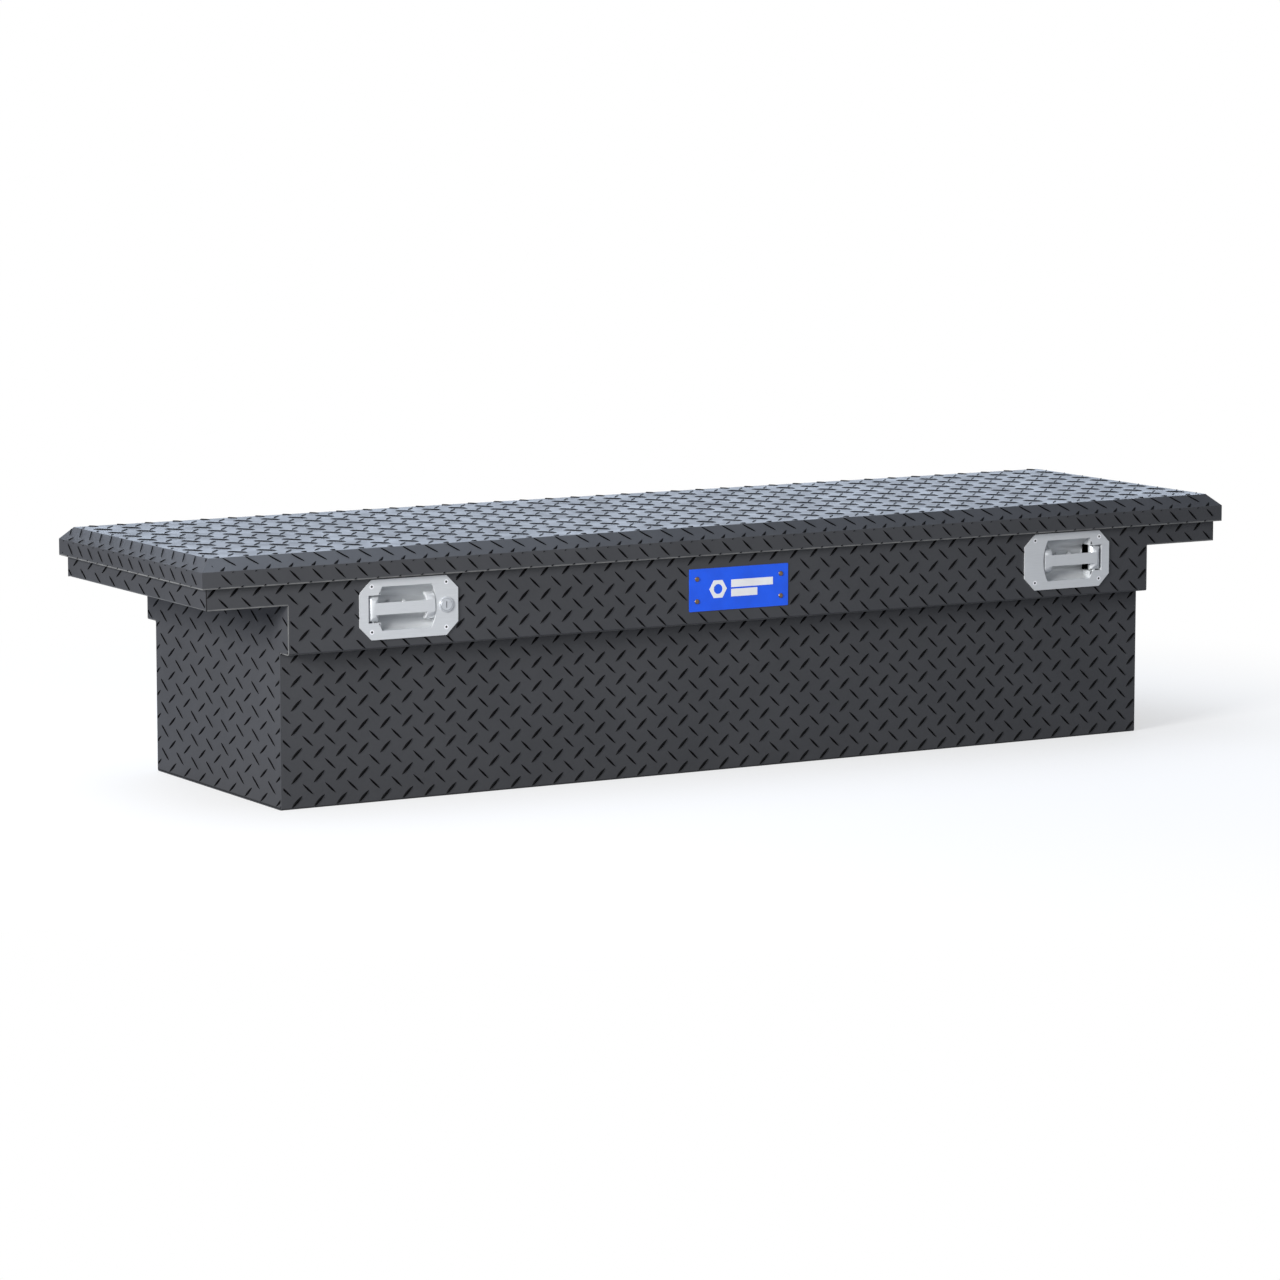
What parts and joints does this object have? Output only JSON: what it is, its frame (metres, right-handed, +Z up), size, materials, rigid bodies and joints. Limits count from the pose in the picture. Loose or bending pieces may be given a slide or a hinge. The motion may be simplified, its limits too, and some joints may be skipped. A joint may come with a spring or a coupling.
{
  "type": "truck tool box",
  "caption": "Low-profile crossover truck tool box in black tread plate, T-shaped tub with side wings, one-piece hinged lid and two recessed pull handles.",
  "frame": {"origin": "middle of the footprint of the closed box, at the underside of the tub floor", "axes": "+X across the truck towards the right-hand end seen from the handles, +Y towards the hinged rear, +Z up"},
  "size_m": [1.77, 0.4956, 0.3714],
  "materials": {
    "black_tread_plate": "matte",
    "bare_sheet": "satin",
    "foam": "matte",
    "seal_rubber": "matte",
    "stainless": "satin",
    "zinc_steel": "satin",
    "lock_chrome": "polished",
    "blue_plate": "satin",
    "bronze_rivet": "satin",
    "nylon": "satin",
    "strut_black": "gloss",
    "strut_chrome": "polished"
  },
  "bodies": {
    "tub": {"tub_wrap": "black_tread_plate", "end_panel_left": "black_tread_plate", "end_panel_right": "black_tread_plate", "lid_seal": "seal_rubber", "hinge_leaf_tub": "stainless", "hinge_pin": "stainless", "hinge_rivets_tub": "zinc_steel", "handle_plate_left": "stainless", "handle_plate_right": "stainless", "lever_pins": "stainless", "lever_springs": "zinc_steel", "handle_screws": "zinc_steel", "handle_nuts": "zinc_steel", "lock_housing": "lock_chrome", "lock_nut": "zinc_steel", "nameplate": "blue_plate", "nameplate_rivets": "bronze_rivet", "latch_frame_left": "zinc_steel", "latch_frame_right": "zinc_steel", "shaft_hanger": "zinc_steel", "shaft_bushes": "nylon", "strut_bracket_tub_left": "zinc_steel", "strut_bracket_tub_right": "zinc_steel"},
    "lid": {"lid_skin": "black_tread_plate", "lid_foam_core": "foam", "lid_inner_pan": "bare_sheet", "hinge_leaf_lid": "stainless", "hinge_rivets_lid": "zinc_steel", "striker_left": "zinc_steel", "striker_right": "zinc_steel", "striker_screws": "zinc_steel", "strut_bracket_lid_left": "zinc_steel", "strut_bracket_lid_right": "zinc_steel"},
    "left_strut_cylinder": {"strut_cylinder_left": "strut_black", "strut_socket_lower_left": "nylon"},
    "left_strut_rod": {"strut_rod_left": "strut_chrome", "strut_socket_upper_left": "nylon"},
    "right_strut_cylinder": {"strut_cylinder_right": "strut_black", "strut_socket_lower_right": "nylon"},
    "right_strut_rod": {"strut_rod_right": "strut_chrome", "strut_socket_upper_right": "nylon"},
    "left_lever": {"lever_left": "stainless"},
    "right_lever": {"lever_right": "stainless"},
    "release": {"release_shaft": "zinc_steel", "shaft_clips": "zinc_steel", "heel_crank_left": "zinc_steel", "heel_crank_right": "zinc_steel", "release_dog_left": "zinc_steel", "release_dog_right": "zinc_steel", "lock_crank": "zinc_steel"},
    "left_claw": {"latch_claw_left": "zinc_steel"},
    "right_claw": {"latch_claw_right": "zinc_steel"},
    "lock": {"lock_plug": "lock_chrome", "lock_cam": "zinc_steel", "lock_cam_nut": "zinc_steel"}
  },
  "joints": [
    {"name": "lid_hinge", "type": "hinge", "parent": "tub", "child": "lid", "pos_m": [0, 0.24205, 0.326], "axis": [-1, 0, 0], "range_deg": [0, 75]},
    {"name": "left_strut_foot", "type": "hinge", "parent": "tub", "child": "left_strut_cylinder", "pos_m": [-0.725, 0.13659, 0.09933], "axis": [-1, 0, 0], "range_deg": [0, 37.5]},
    {"name": "left_strut_head", "type": "hinge", "parent": "lid", "child": "left_strut_rod", "pos_m": [-0.725, -0.00766, 0.338], "axis": [-1, 0, 0], "range_deg": [-37.5, 0]},
    {"name": "right_strut_foot", "type": "hinge", "parent": "tub", "child": "right_strut_cylinder", "pos_m": [0.725, 0.13659, 0.09933], "axis": [-1, 0, 0], "range_deg": [0, 37.5]},
    {"name": "right_strut_head", "type": "hinge", "parent": "lid", "child": "right_strut_rod", "pos_m": [0.725, -0.00766, 0.338], "axis": [-1, 0, 0], "range_deg": [-37.5, 0]},
    {"name": "left_handle", "type": "hinge", "parent": "tub", "child": "left_lever", "pos_m": [-0.611, -0.233, 0.28425], "axis": [0, 0, -1], "range_deg": [0, 35], "stiffness_Nm_per_rad": 0.4},
    {"name": "right_handle", "type": "hinge", "parent": "tub", "child": "right_lever", "pos_m": [0.6492, -0.233, 0.28425], "axis": [0, 0, 1], "range_deg": [0, 35], "stiffness_Nm_per_rad": 0.4},
    {"name": "release_turn", "type": "hinge", "parent": "tub", "child": "release", "pos_m": [0, -0.2005, 0.318], "axis": [1, 0, 0], "range_deg": [0, 22.66]},
    {"name": "left_claw_turn", "type": "hinge", "parent": "tub", "child": "left_claw", "pos_m": [-0.6616, -0.2005, 0.318], "axis": [1, 0, 0], "range_deg": [-23, 0]},
    {"name": "right_claw_turn", "type": "hinge", "parent": "tub", "child": "right_claw", "pos_m": [0.6998, -0.2005, 0.318], "axis": [1, 0, 0], "range_deg": [-23, 0]},
    {"name": "lock_turn", "type": "hinge", "parent": "tub", "child": "lock", "pos_m": [-0.4957, -0.2385, 0.28425], "axis": [0, 1, 0], "range_deg": [-90, 0]}
  ],
  "couplings": [
    {"joint": "left_strut_foot", "follows": "lid_hinge", "ratio": 0.5},
    {"joint": "left_strut_head", "follows": "lid_hinge", "ratio": -0.5},
    {"joint": "right_strut_foot", "follows": "lid_hinge", "ratio": 0.5},
    {"joint": "right_strut_head", "follows": "lid_hinge", "ratio": -0.5},
    {"joint": "right_handle", "follows": "left_handle", "ratio": 1},
    {"joint": "release_turn", "follows": "left_handle", "ratio": 0.64714}
  ]
}
